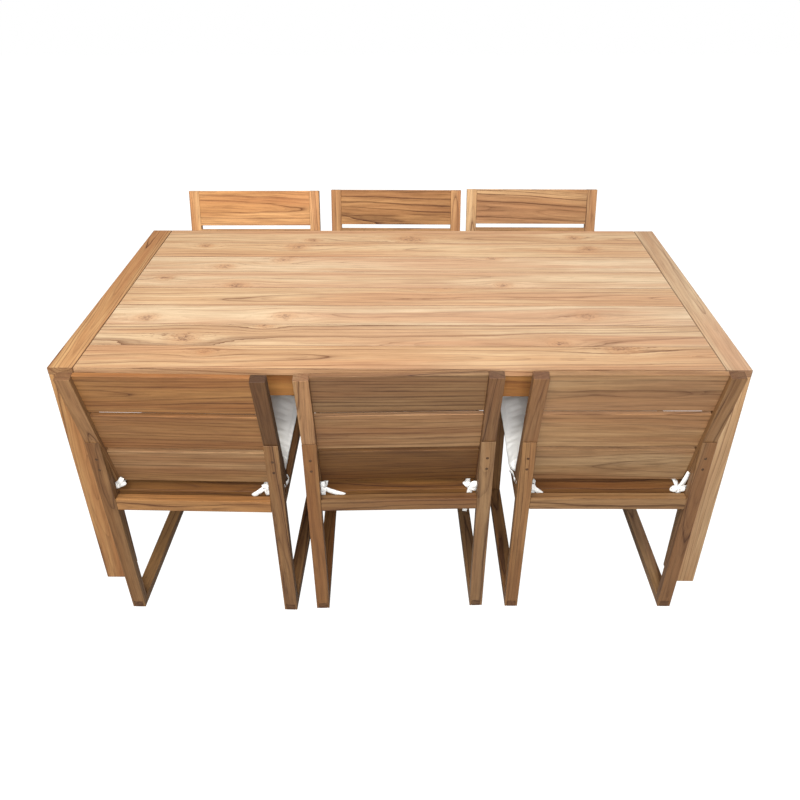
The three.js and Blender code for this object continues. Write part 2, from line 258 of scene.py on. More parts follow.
# seam darkens the boards' eased edges: grime and painted shade where the planks meet.
def teak(name, pale, tan, rose, dark, contrast, seam=0.0, knots=1):
    """Oiled teak. Its grain attribute is in metres: X along the board, and Y and Z from the tree's pith."""
    s = Shader(name)
    grain = s.attribute("grain", "Vector")
    tone = s.add("ShaderNodeSeparateXYZ", {0: s.attribute("tone", "Vector")}).node.outputs
    end_grain = s.attribute("end_grain", "Fac")

    wander = s.vector("SUBTRACT", s.noise(s.vector("MULTIPLY", grain, (0.9, 3.5, 3.5)), output=1), (0.5,) * 3)
    wobble = s.vector("SUBTRACT", s.noise(s.vector("MULTIPLY", grain, (7, 28, 28)), output=1), (0.5,) * 3)
    moved = s.vector("ADD", grain, s.vector("MULTIPLY", wander, (0, 0.050, 0.050)))
    moved = s.vector("ADD", moved, s.vector("MULTIPLY", wobble, (0, 0.0042, 0.0042)))
    found = [knot(s, grain, f"knot_{i + 1}") for i in range(knots)]
    knot_flow = 0.0
    for far, flow, push in found:
        moved = s.vector("SUBTRACT", moved, s.add("ShaderNodeCombineXYZ", {1: push}))
        knot_flow = s.math("ADD", flow, knot_flow)
    from_pith = s.vector("LENGTH", s.vector("MULTIPLY", moved, (0, 1, 1)), output=1)
    from_pith = s.math("ADD", from_pith, s.math("MULTIPLY", knot_flow, 0.007))

    def ring_lines(width, sharpness, unevenness):
        """A dark line at the end of each growth ring, some faint and some strong."""
        uneven = s.math("MULTIPLY", s.noise_along(from_pith, 0.35 / width), unevenness)
        phase = s.math("ADD", s.math("DIVIDE", from_pith, width), uneven)
        weight = s.add("ShaderNodeTexWhiteNoise", {"W": s.math("FLOOR", phase)}, noise_dimensions="1D")
        share = s.math("PINGPONG", s.math("FRACT", s.math("ADD", phase, 0.5)), 0.5)
        return s.math("MULTIPLY", s.math("POWER", s.math("MULTIPLY", share, 2.0), sharpness), weight)

    lines = ring_lines(RING_WIDTH, 7.0, 3.4)
    fine_lines = ring_lines(FINE_RING_WIDTH, 2.5, 2.2)

    fibre = s.noise(s.vector("MULTIPLY", moved, (5, 300, 300)), 1.0, 4.0, 0.65)
    hair = s.noise(s.vector("MULTIPLY", moved, (26, 1900, 1900)), 1.0, 2.0, 0.6)
    pores = s.step(s.noise(s.vector("MULTIPLY", moved, (70, 2600, 2600)), 1.0, 1.0), 0.60, 0.72)
    broad = s.noise(s.vector("MULTIPLY", moved, (1.3, 22, 22)), 1.0, 3.0, 0.55)
    flush = s.noise(s.vector("MULTIPLY", moved, (0.8, 13, 13)), 1.0, 3.0, 0.6)
    streak = s.step(s.noise(s.vector("MULTIPLY", moved, (2.0, 62, 62)), 1.0, 3.0, 0.6), 0.58, 0.76)
    mottle = s.noise(s.vector("MULTIPLY", moved, (12, 30, 30)), 1.0, 3.0, 0.6)
    figure = s.noise(s.vector("MULTIPLY", moved, (6, 105, 105)), 1.0, 3.0, 0.7)

    colour = s.mix(s.step(broad, 0.36, 0.62), tan, pale)
    colour = s.mix(s.math("MULTIPLY", s.step(flush, 0.42, 0.66), 0.75), colour, rose)
    colour = s.mix(s.math("MULTIPLY", s.step(mottle, 0.35, 0.7), 0.18), colour, tan)

    shade = s.math("MULTIPLY", lines, 0.62 * contrast)
    shade = s.math("ADD", shade, s.math("MULTIPLY", fine_lines, 0.20 * contrast))
    shade = s.math("ADD", shade, s.math("MULTIPLY", streak, 0.20 * contrast))
    shade = s.math("MULTIPLY", shade, tone[2])
    shade = s.math("ADD", shade, s.math("MULTIPLY", s.step(figure, 0.38, 0.68), 0.17 * contrast))
    shade = s.math("ADD", shade, s.math("MULTIPLY", s.step(fibre, 0.35, 0.7), 0.15 * contrast))
    shade = s.math("ADD", shade, s.math("MULTIPLY", pores, 0.15 * contrast))
    shade = s.math("ADD", shade, s.math("MULTIPLY", hair, 0.08), clamp=True)
    colour = s.mix(shade, colour, dark)

    eyes = 0.0
    for far, flow, push in found:
        colour = s.mix(s.step(far, 0.6, 2.8, 0.5, 0.0), colour, rgb(186, 138, 96))
        arcs = s.math("PINGPONG", s.math("MULTIPLY", far, 1.5), 0.5)
        broken = s.step(s.noise(s.vector("MULTIPLY", grain, (45, 75, 75)), 1.0, 2.0), 0.42, 0.62)
        arcs = s.math("MULTIPLY", s.step(arcs, 0.30, 0.5), broken)
        arcs = s.math("MULTIPLY", arcs, s.step(far, 1.2, 2.1, 1.0, 0.0))
        crack = s.step(s.noise(s.vector("MULTIPLY", grain, (100, 190, 190)), 1.0, 2.0), 0.44, 0.58)
        core = s.math("MULTIPLY", s.step(far, 0.4, 1.1, 0.75, 0.0), crack)
        eye = s.math("MAXIMUM", s.math("MULTIPLY", arcs, 0.7), core)
        colour = s.mix(eye, colour, rgb(116, 84, 64))
        eyes = s.math("MAXIMUM", eye, eyes)
    colour = s.mix(s.math("MULTIPLY", end_grain, 0.55), colour, rgb(98, 62, 38))
    # Darker eased edges on the boards, where the planks meet: grime and painted shade of the grooves between
    # them.
    edge_grime_and_shade = s.math("MULTIPLY", s.attribute("edge", "Fac"), seam)
    colour = s.mix(edge_grime_and_shade, colour, rgb(74, 46, 28))
    tint = s.add("ShaderNodeVectorMath", {0: tone[1], 1: (0.035, -0.10, -0.28), 2: (1.0, 0.96, 0.94)},
                 operation="MULTIPLY_ADD")
    colour = s.vector("SCALE", s.vector("MULTIPLY", colour, tint))
    s.put(colour.node.inputs["Scale"], tone[0])
    s.put(s.surface.inputs["Base Color"], colour)

    rough = s.math("ADD", s.math("MULTIPLY", fibre, 0.16), s.math("MULTIPLY", shade, 0.25))
    s.put(s.surface.inputs["Roughness"], s.math("ADD", rough, 0.44))
    s.surface.inputs["Specular IOR Level"].default_value = 0.35
    height = s.math("MULTIPLY", fibre, 0.5)
    for dip, depth in ((pores, 0.6), (lines, 0.4), (eyes, 0.5)):
        height = s.math("SUBTRACT", height, s.math("MULTIPLY", dip, depth))
    bump = s.add("ShaderNodeBump", {"Strength": 0.35, "Distance": 0.0006, "Height": height})
    s.put(s.surface.inputs["Normal"], bump)
    return s.material


THREAD = 0.0016  # the weave repeats in this


def canvas():
    """Off-white outdoor canvas, plain weave, from the weave attribute in metres."""
    s = Shader("cushion_canvas")
    weave = s.attribute("weave", "Vector")
    parts = s.add("ShaderNodeSeparateXYZ", {0: weave})
    warp = s.math("SINE", s.math("MULTIPLY", parts.node.outputs[0], 2 * math.pi / THREAD))
    weft = s.math("SINE", s.math("MULTIPLY", parts.node.outputs[1], 2 * math.pi / THREAD))
    over = s.math("MULTIPLY", warp, weft)
    slub = s.noise(s.vector("MULTIPLY", weave, (40, 900, 40)), 1.0, 2.0)
    cloud = s.noise(weave, 7.0, 3.0, 0.6)
    level = s.math("ADD", s.math("MULTIPLY", over, 0.06), s.math("MULTIPLY", slub, 0.35))
    level = s.math("ADD", level, s.math("MULTIPLY", cloud, 0.6), clamp=True)
    colour = s.ramp(level, [(0.2, rgb(216, 216, 214)), (0.7, rgb(238, 238, 236))])
    s.put(s.surface.inputs["Base Color"], colour)
    s.surface.inputs["Roughness"].default_value = 0.92
    s.surface.inputs["Specular IOR Level"].default_value = 0.2
    s.surface.inputs["Sheen Weight"].default_value = 0.15
    s.surface.inputs["Sheen Roughness"].default_value = 0.5
    height = s.math("ADD", s.math("MULTIPLY", over, 0.5), s.math("MULTIPLY", slub, 0.5))
    bump = s.add("ShaderNodeBump", {"Strength": 0.4, "Distance": 0.0003, "Height": height})
    s.put(s.surface.inputs["Normal"], bump)
    return s.material


WOODS = {
    # The top's seam value darkens its boards' eased edges: grime and painted shade where the planks meet.
    "table_top_wood": teak("table_top_teak", rgb(222, 194, 154), rgb(204, 167, 126), rgb(198, 151, 112),
                           rgb(108, 70, 44), 1.0, seam=0.9, knots=3),
    "table_frame_wood": teak("table_frame_teak", rgb(212, 173, 124), rgb(190, 146, 98), rgb(180, 129, 84),
                             rgb(100, 60, 34), 1.2),
    "chair_wood": teak("chair_teak", rgb(216, 175, 124), rgb(192, 147, 96), rgb(184, 129, 82),
                       rgb(92, 54, 30), 1.45),
}
CANVAS = canvas()

# ---- Boards ----

Board = namedtuple("Board", "mesh along wide tone knots", defaults=((),))
MAX_KNOTS = 3
FLAT_SAWN_SHARE = 0.7  # of the boards, sawn with the pith behind their wide face
FLAT_WITHIN = math.radians(1)  # faces nearer to one plane than this are joined
SHARP_FROM = math.radians(12)  # an edge that turns more than this is eased
ACROSS = Vector((1, 0, 0))


def prism(outline, x0, x1):
    """A solid whose (y, z) side outline is carried from x0 to x1."""
    solid = bmesh.new()
    near, far = ([solid.verts.new((x, y, z)) for y, z in outline] for x in (x0, x1))
    solid.faces.new(near)
    solid.faces.new(far)
    for i, (a, b) in enumerate(zip(near, far)):
        j = (i + 1) % len(outline)
        solid.faces.new((a, near[j], far[j], b))
    bmesh.ops.recalc_face_normals(solid, faces=solid.faces)
    return solid


def block(low, high):
    outline = [(low[1], low[2]), (high[1], low[2]), (high[1], high[2]), (low[1], high[2])]
    return prism(outline, low[0], high[0])


def peg(radius, start, end, sides=16):
    """A round bar from start to end."""
    start, end = Vector(start), Vector(end)
    turn = (end - start).to_track_quat("Z", "Y").to_matrix().to_4x4()
    solid = bmesh.new()
    place = Matrix.Translation((start + end) / 2) @ turn
    bmesh.ops.create_cone(solid, cap_ends=True, segments=sides, radius1=radius, radius2=radius,
                          depth=(end - start).length, matrix=place)
    return solid


def as_mesh(solid):
    mesh = bpy.data.meshes.new("board")
    solid.to_mesh(mesh)
    solid.free()
    return mesh


def cut(solid, *cutters):
    """The solid with each cutter taken away."""
    body = bpy.data.objects.new("body", as_mesh(solid))
    bpy.context.scene.collection.objects.link(body)
    tools = [bpy.data.objects.new("cutter", as_mesh(cutter)) for cutter in cutters]
    for tool in tools:
        bpy.context.scene.collection.objects.link(tool)
        modifier = body.modifiers.new("cut", "BOOLEAN")
        modifier.operation = "DIFFERENCE"
        modifier.solver = "EXACT"
        modifier.object = tool
    bpy.context.view_layer.update()
    result = bmesh.new()
    result.from_object(body, bpy.context.evaluated_depsgraph_get())
    for used in (body, *tools):
        bpy.data.objects.remove(used)
    return result


def eased(solid, radius=EDGE_RADIUS):
    """The solid with every sharp edge rounded over."""
    bmesh.ops.dissolve_limit(solid, angle_limit=FLAT_WITHIN, verts=solid.verts, edges=solid.edges)
    sharp = [e for e in solid.edges if e.calc_face_angle(0) > SHARP_FROM]
    bmesh.ops.bevel(solid, geom=sharp, offset=radius, segments=2, profile=0.5, affect="EDGES",
                    clamp_overlap=True)
    return solid


def in_yz(slope_line):
    """The direction, up, of a line of the side view."""
    return Vector((0, slope_line.slope, 1)).normalized()


def is_slim(face):
    """Whether a face is part of an eased edge."""
    return face.calc_area() < SLIM * max(e.calc_length() for e in face.edges)


def wooden(name, boards, body, slot, place=Matrix.Identity(4)):
    """One piece made of boards, with each board's own cut from the tree, riding on a CAD body."""
    whole = bmesh.new()
    grain = whole.verts.layers.float_vector.new("grain")
    tone = whole.verts.layers.float_vector.new("tone")
    knots = [whole.verts.layers.float_vector.new(f"knot_{i + 1}") for i in range(MAX_KNOTS)]
    end = whole.faces.layers.float.new("end_grain")
    edge = whole.verts.layers.float.new("edge")
    for index, board in enumerate(boards):
        draw = random.Random(f"{name}.{index}")
        verts_before, faces_before = len(whole.verts), len(whole.faces)
        whole.from_mesh(board.mesh)
        whole.verts.ensure_lookup_table()
        whole.faces.ensure_lookup_table()
        verts, faces = whole.verts[verts_before:], whole.faces[faces_before:]
        middle = sum((v.co for v in verts), Vector()) / len(verts)
        thick = board.along.cross(board.wide)
        flat_sawn = draw.random() < FLAT_SAWN_SHARE
        pith_angle = math.radians(draw.uniform(65, 115) if flat_sawn else draw.uniform(0, 180))
        pith_side = draw.choice((-1, 1))
        pith_far = pith_side * (draw.uniform(0.025, 0.07) if flat_sawn else draw.uniform(0.05, 0.15))
        pith = pith_far * math.cos(pith_angle), pith_far * math.sin(pith_angle)
        lean = draw.choice((-1, 1)) * draw.uniform(0.003, 0.025), draw.uniform(-0.02, 0.02)
        start = draw.uniform(0, 40)
        light, red, lines = board.tone
        light *= draw.uniform(0.97, 1.03)
        for v in verts:
            off = v.co - middle
            u, b, c = off.dot(board.along), off.dot(board.wide), off.dot(thick)
            v[grain] = (start + u, b + pith[0] + lean[0] * u, c + pith[1] + lean[1] * u)
            v[tone] = (light, red, lines)
            v[edge] = 1.0 if all(is_slim(f) for f in v.link_faces) else 0.0
            for i, layer in enumerate(knots):
                knot_u, knot_b, size = board.knots[i] if i < len(board.knots) else (99, 99, 1)
                v[layer] = ((u - knot_u) / size / KNOT_LENGTH, (b - knot_b) / size / KNOT_WIDTH, 0)
        for f in faces:
            f[end] = 1.0 if abs(f.normal.dot(board.along)) > 0.8 else 0.0
            f.smooth = True
    whole.transform(place)
    mesh = bpy.data.meshes.new(name)
    whole.to_mesh(mesh)
    whole.free()
    return shown(name, mesh, WOODS[slot], body)


def shown(name, mesh, material, body):
    """A finished mesh as an object of the set, riding on a CAD body."""
    piece = bpy.data.objects.new(name, mesh)
    bpy.context.scene.collection.objects.link(piece)
    mesh.materials.append(material)
    if material is not CANVAS:
        piece.modifiers.new("even_normals", "WEIGHTED_NORMAL").keep_sharp = True
    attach(piece, body)
    return piece


# ---- Table ----

def table_board(node, slot, along, wide, radius, tone, knots=()):
    low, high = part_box(node)
    mesh = as_mesh(eased(block(low, high), radius))
    piece = wooden(f"{node}_wood", [Board(mesh, Vector(along), Vector(wide), tone, knots)], "table", slot)
    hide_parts(node)


# Each plank from the front to the rear: its brightness, redness and how strongly its rings show, and its
# knots, as places along and across it and a size.
PLANKS = [
    ((0.80, 0.25, 1.6), [(-0.513, 0.025, 0.7), (0.594, 0.055, 1.5)]),
    ((0.88, -0.15, 1.8), [(-0.588, -0.020, 1.4), (-0.378, 0.050, 0.7), (0.432, -0.045, 1.0)]),
    ((0.92, -0.50, 0.9), [(-0.726, -0.020, 1.1), (-0.330, -0.010, 1.1), (0.540, -0.005, 1.2)]),
    ((0.89, 0.00, 1.3), [(0.126, 0.075, 1.2)]),
    ((0.93, -0.35, 0.9), [(-0.510, -0.045, 1.2), (-0.744, 0.010, 0.9), (0.318, -0.040, 0.9)]),
    ((1.02, -0.45, 0.8), [(-0.576, -0.020, 1.0), (-0.390, 0.035, 1.1), (0.309, 0.055, 0.9)]),
    ((0.94, 0.10, 0.9), [(-0.357, 0.025, 1.3), (-0.675, 0.035, 0.8), (0.640, 0.010, 1.1)]),
    ((0.94, 0.10, 0.9), [(0.030, -0.025, 1.9), (-0.312, -0.035, 0.9), (0.606, -0.005, 1.0)]),
]
END_TONES = {"left": (0.72, 1.1, 2.2), "right": (0.80, -0.15, 0.8)}
LEG_TONES = {"left": (0.60, 0.9, 1.3), "right": (0.95, -1.0, 1.0)}
# The long aprons and the battens, under the top: darker and redder as painted shade from the top above them.
APRON_TONE_AND_SHADE = (0.42, 1.8, 1.0)
TABLE_BATTENS = 3
X_AXIS, Y_AXIS, Z_AXIS = (1, 0, 0), (0, 1, 0), (0, 0, 1)


def table():
    for i, (tone, knots) in enumerate(PLANKS):
        table_board(f"top_plank_{i + 1}", "table_top_wood", X_AXIS, Y_AXIS, TOP_EDGE_RADIUS, tone, knots)
    for side, tone in END_TONES.items():
        table_board(f"end_board_{side}", "table_top_wood", Y_AXIS, X_AXIS, TOP_EDGE_RADIUS, tone)
        table_board(f"end_apron_{side}", "table_frame_wood", Y_AXIS, Z_AXIS, EDGE_RADIUS, LEG_TONES[side])
        for row in ("front", "rear"):
            table_board(f"table_leg_{row}_{side}", "table_frame_wood", Z_AXIS, X_AXIS, LEG_EDGE_RADIUS,
                        LEG_TONES[side])
    for row in ("front", "rear"):
        table_board(f"long_apron_{row}", "table_frame_wood", X_AXIS, Z_AXIS, EDGE_RADIUS, APRON_TONE_AND_SHADE)
    for i in range(TABLE_BATTENS):
        table_board(f"top_batten_{i + 1}", "table_frame_wood", Y_AXIS, X_AXIS, EDGE_RADIUS, APRON_TONE_AND_SHADE)


# ---- Chair ----

CUT_PAST = 0.1  # how far a slot's cutter runs past the board


def side_boards(side, tone):
    """The loop on one side: rear leg with its lap, runner, front leg and seat rail."""
    middle = side * (OUTSIDE + INSIDE) / 2
    x0, x1 = middle - MEMBER_WIDTH / 2, middle + MEMBER_WIDTH / 2
    t0, t1 = middle - TENON_WIDTH / 2, middle + TENON_WIDTH / 2
    taper = Line(POST_REAR.at - FIT_GAP, POST_REAR.slope)
    bend = z_where_lines_cross(LEG_FRONT, taper)
    rear_leg = prism([
        (0, 0),
        (LEG_SPAN, 0),
        (y_on(LEG_FRONT, bend), bend),
        (y_on(taper, LAP_HEIGHT), LAP_HEIGHT),
        (y_on(LEG_REAR, LAP_HEIGHT), LAP_HEIGHT),
    ], x0, x1)
    slot_x0, slot_x1, slot_top = t0 - FIT_GAP, t1 + FIT_GAP, TENON_HEIGHT + FIT_GAP
    rear_slot = block((slot_x0, -CUT_PAST, -CUT_PAST), (slot_x1, CUT_PAST, slot_top))
    rear_leg = eased(cut(rear_leg, rear_slot))
    screws = [(y_on(LEG_REAR, z), z) for z in PLUG_HEIGHTS]
    bores = [peg(PLUG_RADIUS + PLUG_GAP, (middle, y - 0.01, z), (middle, y + PLUG_DEPTH, z))
             for y, z in screws]
    rear_leg = cut(rear_leg, *bores)
    plugs = [peg(PLUG_RADIUS, (middle, y + PLUG_SINK, z), (middle, y + PLUG_DEPTH - PLUG_GAP, z))
             for y, z in screws]

    front_leg = prism([
        (FRONT_INNER, 0),
        (CHAIR_DEPTH, 0),
        (CHAIR_DEPTH, rail_top(CHAIR_DEPTH)),
        (FRONT_INNER, rail_top(FRONT_INNER)),
    ], x0, x1)
    front_slot = block((slot_x0, FRONT_INNER - CUT_PAST, -CUT_PAST),
                       (slot_x1, CHAIR_DEPTH + CUT_PAST, slot_top))
    behind, ahead, above = 0.4, 0.6, 0.6  # all clear of the front leg
    top_slot = prism([
        (behind, rail_top(behind) - TENON_HEIGHT - FIT_GAP),
        (ahead, rail_top(ahead) - TENON_HEIGHT - FIT_GAP),
        (ahead, above),
        (behind, above),
    ], slot_x0, slot_x1)
    front_leg = eased(cut(front_leg, front_slot, top_slot))

    shoulder = FRONT_INNER - FIT_GAP
    tenon_end = CHAIR_DEPTH - TENON_SINK
    runner = prism([
        (LEG_SPAN + FIT_GAP, 0),
        (shoulder, 0),
        (shoulder, MEMBER_THICKNESS),
        (y_on(LEG_FRONT, MEMBER_THICKNESS) + FIT_GAP, MEMBER_THICKNESS),
    ], x0, x1)
    rear_tenon = prism([
        (TENON_SINK, 0),
        (LEG_SPAN, 0),
        (LEG_SPAN, TENON_HEIGHT),
        (y_on(LEG_REAR, TENON_HEIGHT) + TENON_SINK, TENON_HEIGHT),
    ], t0, t1)
    front_tenon = block((t0, FRONT_INNER, 0), (t1, tenon_end, TENON_HEIGHT))
    under, over = point_at_seat(LEG_FRONT, 0), point_at_seat(LEG_FRONT, RAIL_SPAN)
    rail = prism([
        (under[0] + FIT_GAP, under[1]),
        (shoulder, rail_under(FRONT_INNER)),
        (shoulder, rail_top(FRONT_INNER)),
        (over[0] + FIT_GAP, over[1]),
    ], x0, x1)
    rail_tenon = prism([
        (FRONT_INNER, rail_top(FRONT_INNER) - TENON_HEIGHT),
        (tenon_end, rail_top(CHAIR_DEPTH) - TENON_HEIGHT),
        (tenon_end, rail_top(CHAIR_DEPTH)),
        (FRONT_INNER, rail_top(FRONT_INNER)),
    ], t0, t1)
    forward = Vector((0, 1, 0))
    plug_tone = (tone[0] * 0.6, tone[1], 1.0)
    return [
        Board(as_mesh(rear_leg), in_yz(LEG_REAR), ACROSS, tone),
        Board(as_mesh(front_leg), Vector((0, 0, 1)), ACROSS, tone),
        Board(as_mesh(eased(runner)), forward, ACROSS, tone),
        Board(as_mesh(eased(rear_tenon, TENON_EDGE_RADIUS)), forward, ACROSS, tone),
        Board(as_mesh(eased(front_tenon, TENON_EDGE_RADIUS)), forward, ACROSS, tone),
        Board(as_mesh(eased(rail)), RAIL_ALONG, ACROSS, tone),
        Board(as_mesh(eased(rail_tenon, TENON_EDGE_RADIUS)), RAIL_ALONG, ACROSS, tone),
        *[Board(as_mesh(plug), forward, ACROSS, plug_tone) for plug in plugs],
    ]


def back_boards(tones):
    """Two reclined posts and the wide slats between them, flush with the posts' fronts."""
    post = [
        point_at_seat(POST_REAR, RAIL_SPAN + FIT_GAP),
        point_at_seat(POST_FRONT, RAIL_SPAN + FIT_GAP),
        back_point(0, MEMBER_THICKNESS),
        back_point(0, 0),
    ]
    boards = []
    for x0, x1, tone in ((-OUTSIDE, -INSIDE, tones["left_post"]), (INSIDE, OUTSIDE, tones["right_post"])):
        boards.append(Board(as_mesh(eased(prism(post, x0, x1))), in_yz(POST_REAR), ACROSS, tone))
    rear = MEMBER_THICKNESS - BACK_SLAT_THICKNESS
    end = INSIDE - FIT_GAP / 2
    for i, tone in enumerate(tones["slats"]):
        top = i * (BACK_SLAT_WIDTH + BACK_SLAT_GAP)
        bottom = top + BACK_SLAT_WIDTH
        outline = [back_point(top, rear), back_point(bottom, rear), back_point(bottom, MEMBER_THICKNESS),
                   back_point(top, MEMBER_THICKNESS)]
        boards.append(Board(as_mesh(eased(prism(outline, -end, end))), ACROSS, in_yz(POST_REAR), tone))
    return boards


def rear_rail_boards(tone):
    low, high = REAR_RAIL_HEIGHT, REAR_RAIL_HEIGHT + REAR_RAIL_DEPTH
    outline = [(y_on(LEG_REAR, low), low), (y_on(LEG_FRONT, low), low), (y_on(LEG_FRONT, high), high),
               (y_on(LEG_REAR, high), high)]
    end = INSIDE - FIT_GAP
    return [Board(as_mesh(eased(prism(outline, -end, end))), ACROSS, in_yz(LEG_REAR), tone)]


def seat_outline(y0, y1, down0, down1):
    return [(y0, rail_top(y0) - down1), (y1, rail_top(y1) - down1), (y1, rail_top(y1) - down0),
            (y0, rail_top(y0) - down0)]


def seat_boards(tone):
    """Boards across the seat on three cleats, and the front rail."""
    end = INSIDE - FIT_GAP
    first = y_on(LEG_FRONT, REAR_RAIL_HEIGHT + REAR_RAIL_DEPTH) + SEAT_REAR_GAP
    width = (FRONT_INNER - first - SEAT_BOARDS * SEAT_BOARD_GAP) / SEAT_BOARDS
    outlines = [seat_outline(FRONT_INNER, CHAIR_DEPTH, 0, FRONT_RAIL_DEPTH)]
    for i in range(SEAT_BOARDS):
        y = first + i * (width + SEAT_BOARD_GAP)
        outlines.append(seat_outline(y, y + width, 0, SEAT_BOARD_THICKNESS))
    boards = [Board(as_mesh(eased(prism(outline, -end, end))), ACROSS, RAIL_ALONG, tone)
              for outline in outlines]
    cleat = seat_outline(LEG_SPAN + FIT_GAP, FRONT_INNER - FIT_GAP, SEAT_BOARD_THICKNESS + FIT_GAP,
                         SEAT_BOARD_THICKNESS + CLEAT_HEIGHT)
    for x in (-end, -CLEAT_WIDTH / 2, end - CLEAT_WIDTH):
        boards.append(Board(as_mesh(eased(prism(cleat, x, x + CLEAT_WIDTH))), RAIL_ALONG, ACROSS, tone))
    return boards


# Each chair's boards: brightness, redness and how strongly the rings show. Chairs 1 to 3 are far darker and
# redder than chairs 4 to 6: painted shade on their backs, which lean away from the light, and painted shadow
# on their seats under the lowest slat.
CHAIR_TONES_AND_SHADE = [
    dict(left_leg=(0.34, 0.8, 1.0), right_leg=(0.34, 0.7, 1.3), left_post=(0.49, 0.5, 1.0),
         right_post=(0.18, 1.5, 1.2), slats=[(0.46, 1.4, 0.9), (0.47, 1.0, 1.0), (0.56, -0.2, 1.1)],
         rail=(0.52, 1.1, 1.1), seat=(0.26, 1.6, 1.2)),
    dict(left_leg=(0.36, 1.2, 1.2), right_leg=(0.37, 0.0, 1.0), left_post=(0.69, -0.5, 1.0),
         right_post=(0.33, 0.5, 1.0), slats=[(0.38, 0.2, 1.2), (0.50, 0.0, 1.0), (0.21, 1.9, 1.0)],
         rail=(0.33, 0.8, 1.2), seat=(0.27, 1.7, 1.0)),
    dict(left_leg=(0.38, 0.9, 0.9), right_leg=(0.39, 0.2, 0.9), left_post=(0.43, 0.3, 0.8),
         right_post=(0.43, 0.3, 1.0), slats=[(0.60, -0.6, 0.6), (0.63, -0.2, 0.7), (0.56, -0.5, 0.7)],
         rail=(0.40, 0.4, 1.3), seat=(0.30, 1.3, 1.0)),
    dict(left_leg=(0.75, 0.3, 1.0), right_leg=(0.75, 0.3, 1.0), left_post=(1.15, 0.2, 1.0),
         right_post=(1.09, 0.2, 1.0), slats=[(1.08, 0.65, 1.0), (0.78, 0.4, 1.0), (0.74, 0.4, 1.0)],
         rail=(0.70, 0.4, 1.0), seat=(0.61, 0.6, 1.0)),
    dict(left_leg=(0.65, 0.5, 1.0), right_leg=(0.61, 0.6, 1.0), left_post=(0.84, 0.6, 1.0),
         right_post=(0.82, 0.7, 1.0), slats=[(0.67, 1.3, 1.2), (0.68, 0.6, 1.0), (0.64, 0.8, 1.0)],
         rail=(0.60, 0.6, 1.0), seat=(0.56, 0.7, 1.0)),
    dict(left_leg=(0.68, 0.2, 1.0), right_leg=(0.66, 0.3, 1.0), left_post=(0.98, -0.3, 1.0),
         right_post=(1.02, -0.5, 1.0), slats=[(0.89, -0.1, 1.3), (0.74, 0.2, 1.0), (0.70, 0.3, 1.0)],
         rail=(0.66, 0.3, 1.0), seat=(0.60, 0.5, 1.0)),
]


def chair(number, place):
    body = f"chair{number}"
    tones = CHAIR_TONES_AND_SHADE[number - 1]
    made = {
        "left_side": side_boards(-1, tones["left_leg"]),
        "right_side": side_boards(1, tones["right_leg"]),
        "back": back_boards(tones),
        "rear_rail": rear_rail_boards(tones["rail"]),
        "seat": seat_boards(tones["seat"]),
    }
    for part, boards in made.items():
        piece = wooden(f"{body}_{part}_wood", boards, body, "chair_wood", place)
        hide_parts(f"{body}_{part}")


# ---- Cushions ----

def pad_frame():
    """The cushion's frame in the chair's: X across, Y forward along the seat, Z up off the seat."""
    tilt = Matrix.Rotation(SEAT_SLOPE, 4, "X")
    return Matrix.Translation((0, CUSHION_REAR, rail_top(CUSHION_REAR) + FIT_GAP)) @ tilt


def pad_length():
    return (CHAIR_DEPTH - CUSHION_OVERHANG - CUSHION_REAR) / math.cos(SEAT_SLOPE)


def pad_outline(inset, corner, steps=8):
    """The rounded rectangle that the cushion is cut to, inset from its full size."""
    w, l = CUSHION_WIDTH / 2 - inset, pad_length() - 2 * inset
    points = []
    corners = ((w - corner, corner, -90), (w - corner, l - corner, 0), (-w + corner, l - corner, 90),
               (-w + corner, corner, 180))
    for cx, cy, start in corners:
        for i in range(steps + 1):
            angle = math.radians(start + 90 * i / steps)
            points.append((cx + corner * math.cos(angle), cy + corner * math.sin(angle) + inset))
    return points


SEAM_HEIGHT = 0.021
SEAM_DEPTH = 0.0016
SEAM_WIDTH = 0.0016
PAD_STEP = 0.006  # between the points of the mesh that is simulated
PAD_RISE = 0.010  # the most that filling moves a point
PAD_FRAMES = 20
PAD_PRESSURE = 4
PAD_MASS = 0.3
PAD_BENDING = 0.4
PAD_SHRINK = -0.012  # below zero, so the cover grows a little as it fills
PAD_QUALITY = 5
PAD_RINGS = (  # how far each ring of the unfilled pad is in from the full size, and its height
    (0.016, 0.002),
    (0.006, 0.008),
    (0.003, SEAM_HEIGHT),
    (0.006, 0.034),
    (0.016, 0.039),
)
PUCKER_DEPTH = 0.0009
PUCKER_REACH = 0.009  # above and below the seam
PUCKER_FREQUENCY = 75
REST_HEIGHT = 0.0003  # of the flat underside, with its unevenness
REST_UNEVENNESS = 0.0002
REST_FREQUENCY = 40
# Waves of the cover as (frequency, height): in every pad, and pressed into the top by one sitter.
FOLDS = ((11, 0.0014), (34, 0.0004))
PRESSES = ((5, 0.0022), (14, 0.0007))


def plain_pad():
    """The cushion's two cut panels and its edge, slightly small, before it is filled."""
    solid = bmesh.new()
    rings = []
    for inset, z in PAD_RINGS:
        rings.append([solid.verts.new((x, y, z)) for x, y in pad_outline(inset, CUSHION_CORNER)])
    for low, high in zip(rings, rings[1:]):
        for i in range(len(low)):
            j = (i + 1) % len(low)
            solid.faces.new((low[i], low[j], high[j], high[i]))
    solid.faces.new(rings[0][::-1])
    solid.faces.new(rings[-1])
    return as_mesh(solid)


def made_with(mesh, kind, **settings):
    """The mesh that a modifier makes of this one."""
    thing = bpy.data.objects.new("temporary", mesh)
    bpy.context.scene.collection.objects.link(thing)
    modifier = thing.modifiers.new("temporary", kind)
    for key, value in settings.items():
        setattr(modifier, key, value)
    made = bpy.data.meshes.new_from_object(thing.evaluated_get(bpy.context.evaluated_depsgraph_get()))
    bpy.data.objects.remove(thing)
    return made


